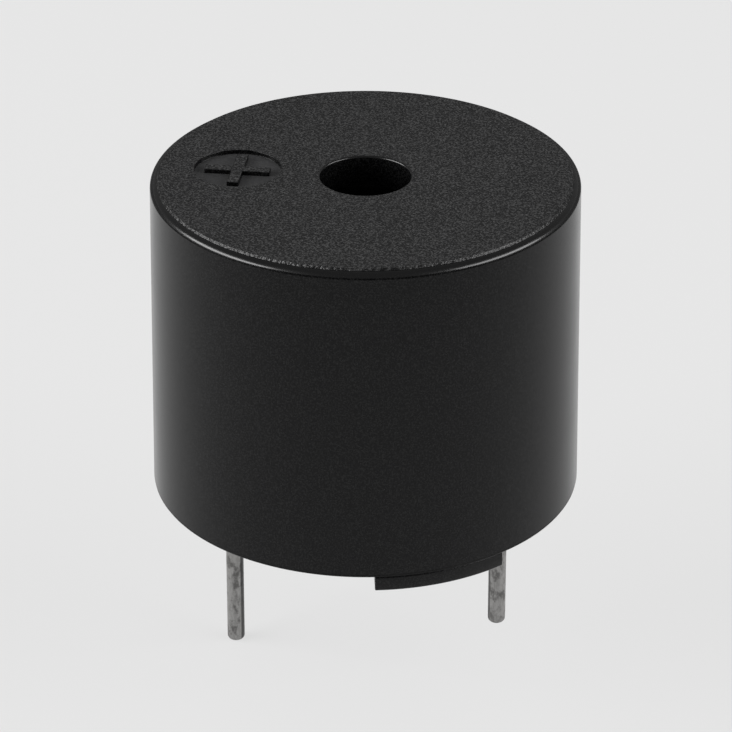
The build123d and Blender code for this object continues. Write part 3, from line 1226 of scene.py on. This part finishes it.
@dataclass
class Resin:
    """The resin that fills the underside, raised a little round each pin and along the wall.

    Attributes:
        creep: How far it creeps down each pin.
        wall_curve: Its rise along the wall, as distances from the wall and heights.
        pin_curve: Its creep along a pin, as distances from the pin and shares of the whole creep.
    """

    face: float
    top: float
    floor_top: float
    steps: int = 96
    radius: float = 4.6
    passage: float = 0.6
    grip: float = 0.45
    pin: float = 0.25
    creep: float = 0.08
    pin_place: float = 3.81
    wall_curve: tuple[tuple[float, float], ...] = ((0.5, 0.0), (0.25, 0.006), (0.1, 0.02), (0.0, 0.05))
    pin_curve: tuple[tuple[float, float], ...] = ((0.02, 1.0), (0.05, 1 / 2), (0.13, 1 / 4), (0.28, 1 / 12))
    collar_lip: float = 0.02
    collar_side: float = 0.34
    pin_room: float = 0.3

    def build(self) -> Piece:
        """Builds and dresses the resin.

        Returns:
            The finished resin.
        """
        corners = [
            Corner(0.0, self.face),
            *(Corner(self.radius - away, self.face - rise) for away, rise in self.wall_curve),
            Corner(self.radius, self.top),
            Corner(0.0, self.top),
        ]
        piece = Bench.turn("poured_resin", corners, self.steps, closed=False)
        collar, space = self.collar(), self.pin_space()
        for side in (-1, 1):
            Bench.combine(piece, Bench.copy_to(collar, side * self.pin_place), "UNION")
            Bench.combine(piece, Bench.copy_to(space, side * self.pin_place), "DIFFERENCE")
        for pattern in (collar, space):
            bpy.data.objects.remove(pattern)
        Bench.dress(piece, RESIN)
        return Bench.complete(piece, Slot.RESIN, "potting_resin")

    def collar(self) -> Piece:
        """The resin that fills a pin's passage and creeps down the pin in a hollow curve.

        Returns:
            The collar, on the axis.
        """
        corners = [
            Corner(0.0, self.face - self.creep),
            *(Corner(self.pin + away, self.face - self.creep * share) for away, share in self.pin_curve),
            Corner(self.pin + self.collar_side, self.face + self.collar_lip),
            Corner(self.passage, self.face + self.collar_lip),
            Corner(self.passage, self.floor_top),
            Corner(0.0, self.floor_top),
        ]
        return Bench.turn("collar", corners, 64, closed=False)

    def pin_space(self) -> Piece:
        """The room that a pin and its grip take up in the resin.

        Returns:
            The space, on the axis.
        """
        corners = [
            Corner(0.0, self.face - self.pin_room),
            Corner(self.pin, self.face - self.pin_room),
            Corner(self.pin, self.face),
            Corner(self.grip, self.face),
            Corner(self.grip, self.floor_top + self.pin_room / 3),
            Corner(0.0, self.floor_top + self.pin_room / 3),
        ]
        return Bench.turn("pin_space", corners, 48, closed=False)


@dataclass
class Interior:
    """The sealed parts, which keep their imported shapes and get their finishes."""

    def build(self, nodes: dict[str, Piece]) -> None:
        """Dresses each inner node.

        Args:
            nodes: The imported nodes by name.
        """
        for name, finish in INNER_FINISHES.items():
            Bench.dress(nodes[name], finish)
            log.info("%s: dressed as %s", name, finish.name)


def looked_at(tree: bpy.types.NodeTree) -> Socket:
    """Tells the rays that show the room, straight or in a reflection, from those that light it.

    Args:
        tree: The node tree that asks.

    Returns:
        1 for rays that show the room and 0 for the rest.
    """
    path = tree.nodes.new("ShaderNodeLightPath")
    total = path.outputs["Is Camera Ray"]
    for name in ("Is Glossy Ray", "Is Transmission Ray"):
        add = tree.nodes.new("ShaderNodeMath")
        add.operation = "ADD"
        add.use_clamp = True
        tree.links.new(total, add.inputs[0])
        tree.links.new(path.outputs[name], add.inputs[1])
        total = add.outputs["Value"]
    return total


@dataclass
class Studio:
    """A pale floor, a pale room, soft light from both sides and the camera.

    Attributes:
        floor_height: Height of the floor, in millimetres.
        target_height: Height that the camera's place is measured from, in millimetres.
        floor_colour: Colour of the floor where light falls on it.
        background: How bright the floor and the room look.
        shadow: How much of the floor's look is real light, which keeps the object's shadow.
        overhead: How bright the room looks above the horizon.
        horizon: Where the room's look changes, as heights of the direction of sight.
        ambient: Strength of the light that the room gives.
        screen_radius: Radius of the screen that darkens low reflections, in millimetres.
        screen_top: Height of its top, in millimetres.
        screen_grey: How bright it looks.
        lamp_distance: Distance of both softboxes, in metres.
        lamp_rise: Their height over the horizon, in degrees.
        lamp_height: Their height from edge to edge, in metres.
        distance: The camera's distance, in millimetres.
        azimuth: The camera's direction, in degrees to the right of the front.
        elevation: The camera's height over the horizon, in degrees.
        pitch: How far it looks down, in degrees.
        aside: How far it looks aside, in degrees.
        lens: Its focal length, in millimetres.
        sensor: Its sensor's width, in millimetres.
    """

    floor_height: float
    target_height: float
    floor_colour: float = 0.8
    floor_radius: float = 1000.0
    floor_edge: float = 60.0
    background: float = 0.78
    shadow: float = 0.18
    overhead: float = 0.22
    horizon: tuple[float, float] = (0.1, 0.3)
    ambient: float = 0.42
    screen_radius: float = 45.0
    screen_top: float = 18.0
    screen_grey: float = 0.12
    lamp_distance: float = 0.36
    lamp_rise: float = 15.0
    lamp_height: float = 0.22
    distance: float = 111.13
    azimuth: float = 7.5
    elevation: float = 27.39
    pitch: float = 27.97
    aside: float = 0.008
    lens: float = 195.97
    sensor: float = 36.0

    def build(self) -> None:
        """Builds the floor, the light and the camera."""
        self.lay_floor()
        self.stand_screen()
        self.light_world()
        self.hang_softbox("softbox_left", turn=-79.0, width=0.36, power=2.4)
        self.hang_softbox("softbox_right", turn=75.0, width=0.33, power=1.6)
        self.set_camera()

    def lay_floor(self) -> None:
        """Lays a wide round floor with a turned-up edge."""
        corners = [
            Corner(0.0, 0.0),
            Corner(0.9 * self.floor_radius, 0.0),
            Corner(self.floor_radius, 0.0, 40.0, 6),
            Corner(self.floor_radius, self.floor_edge),
        ]
        floor = Bench.turn("floor", corners, 64, closed=False)
        Bench.move(floor, 0.0, 0.0, self.floor_height)
        Bench.to_metres(floor)
        graph = Graph("pale_floor")
        graph.set("Base Color", (self.floor_colour,) * 3)
        graph.set("Roughness", 0.9)
        graph.set("Specular IOR Level", 0.0)
        glow = graph.tree.nodes.new("ShaderNodeEmission")
        glow.inputs["Strength"].default_value = self.background
        blend = graph.tree.nodes.new("ShaderNodeMixShader")
        graph.join(graph.math("MULTIPLY", looked_at(graph.tree), 1.0 - self.shadow), blend.inputs[0])
        graph.join(graph.shader.outputs["BSDF"], blend.inputs[1])
        graph.join(glow.outputs["Emission"], blend.inputs[2])
        graph.join(blend.outputs["Shader"], graph.output.inputs["Surface"])
        floor.data.materials.append(graph.material)
        log.info("floor laid at %.2f mm", self.floor_height)

    def stand_screen(self) -> None:
        """Stands a low grey screen round the set, which only reflections show."""
        corners = [Corner(self.screen_radius, self.floor_height), Corner(self.screen_radius, self.screen_top)]
        screen = Bench.turn("screen", corners, 64, closed=False)
        Bench.to_metres(screen)
        graph = Graph("grey_screen")
        graph.set("Base Color", (0.0, 0.0, 0.0))
        graph.set("Specular IOR Level", 0.0)
        graph.set("Emission Color", (self.screen_grey,) * 3)
        graph.set("Emission Strength", 1.0)
        screen.data.materials.append(graph.material)
        screen.visible_camera = False
        screen.visible_diffuse = False
        screen.visible_transmission = False
        screen.visible_shadow = False
        log.info("screen stands at %.0f mm", self.screen_radius)

    def light_world(self) -> None:
        """Lights the scene evenly, and shows a room that is pale all round and darker overhead."""
        world = bpy.data.worlds.new("pale_room")
        bpy.context.scene.world = world
        world.use_nodes = True
        tree = world.node_tree
        coordinates = tree.nodes.new("ShaderNodeTexCoord")
        direction = tree.nodes.new("ShaderNodeSeparateXYZ")
        tree.links.new(coordinates.outputs["Generated"], direction.inputs["Vector"])
        room = tree.nodes.new("ShaderNodeMapRange")
        room.interpolation_type = "SMOOTHSTEP"
        room.inputs["From Min"].default_value, room.inputs["From Max"].default_value = self.horizon
        room.inputs["To Min"].default_value = self.background
        room.inputs["To Max"].default_value = self.overhead
        tree.links.new(direction.outputs["Z"], room.inputs["Value"])
        level = tree.nodes.new("ShaderNodeMapRange")
        level.inputs["To Min"].default_value = self.ambient
        tree.links.new(room.outputs["Result"], level.inputs["To Max"])
        tree.links.new(looked_at(tree), level.inputs["Value"])
        background = tree.nodes["Background"]
        background.inputs["Color"].default_value = (1.0, 1.0, 1.0, 1.0)
        tree.links.new(level.outputs["Result"], background.inputs["Strength"])

    def hang_softbox(self, name: str, turn: float, width: float, power: float) -> None:
        """Hangs a wide low softbox to one side.

        Args:
            name: The lamp's name.
            turn: Its direction from the object, in degrees to the right of the camera's.
            width: The lamp's width, in metres.
            power: The lamp's power, in watts.
        """
        place = self.seen_from(self.azimuth + turn, self.lamp_rise, self.lamp_distance)
        lamp = bpy.data.lights.new(name, "AREA")
        lamp.shape = "RECTANGLE"
        lamp.size = width
        lamp.size_y = self.lamp_height
        lamp.energy = power
        holder = bpy.data.objects.new(name, lamp)
        bpy.context.scene.collection.objects.link(holder)
        holder.location = place
        holder.rotation_euler = (-place).to_track_quat("-Z", "Y").to_euler()
        holder.visible_camera = False
        log.info("%s hung at %s", name, tuple(round(value, 3) for value in place))

    def set_camera(self) -> None:
        """Sets the camera at the photograph's place, aim and lens."""
        camera = bpy.data.cameras.new("camera")
        camera.lens = self.lens
        camera.sensor_width = self.sensor
        camera.clip_start = 0.005
        camera.clip_end = 10.0
        holder = bpy.data.objects.new("camera", camera)
        bpy.context.scene.collection.objects.link(holder)
        place = self.seen_from(self.azimuth, self.elevation, self.distance)
        holder.location = (place + Vector((0.0, 0.0, self.target_height))) * MILLIMETRE
        heading = math.radians(self.azimuth) - math.radians(self.aside)
        holder.rotation_euler = (math.radians(90.0 - self.pitch), 0.0, heading)
        bpy.context.scene.camera = holder
        log.info("camera set %.1f mm away", self.distance)

    @staticmethod
    def seen_from(azimuth: float, elevation: float, distance: float) -> Vector:
        """A place seen from the origin.

        Args:
            azimuth: Its direction, in degrees to the right of the front.
            elevation: Its height over the horizon, in degrees.
            distance: Its distance.

        Returns:
            The place, in the distance's unit.
        """
        turn, rise = math.radians(azimuth), math.radians(elevation)
        flat = distance * math.cos(rise)
        return Vector((flat * math.sin(turn), -flat * math.cos(turn), distance * math.sin(rise)))


def main() -> None:
    """Builds each sub-assembly in order."""
    logging.basicConfig(level=logging.INFO, format="%(name)s %(message)s")
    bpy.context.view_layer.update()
    case = Span.of("case")
    base = Span.of("base")
    resin = Span.of("potting_resin")
    Case(case.low, case.high, Span.of("support_ring").high).build()
    Base(case.low, resin.high, base.high).build()
    Resin(resin.low, case.low + Base.recess_depth, resin.high).build()
    for side, node in ((-1, "pin_positive"), (1, "pin_negative")):
        pin = Span.of(node)
        Pin(node, side, pin.low, pin.high, resin.low, Span.of("board_tracks").low).build()
    Interior().build(frame["nodes"])
    Studio(Span.of("pin_positive").low, (case.low + case.high) / 2).build()
    bpy.context.scene.view_settings.view_transform = "Standard"


if __name__ == "__main__":
    main()
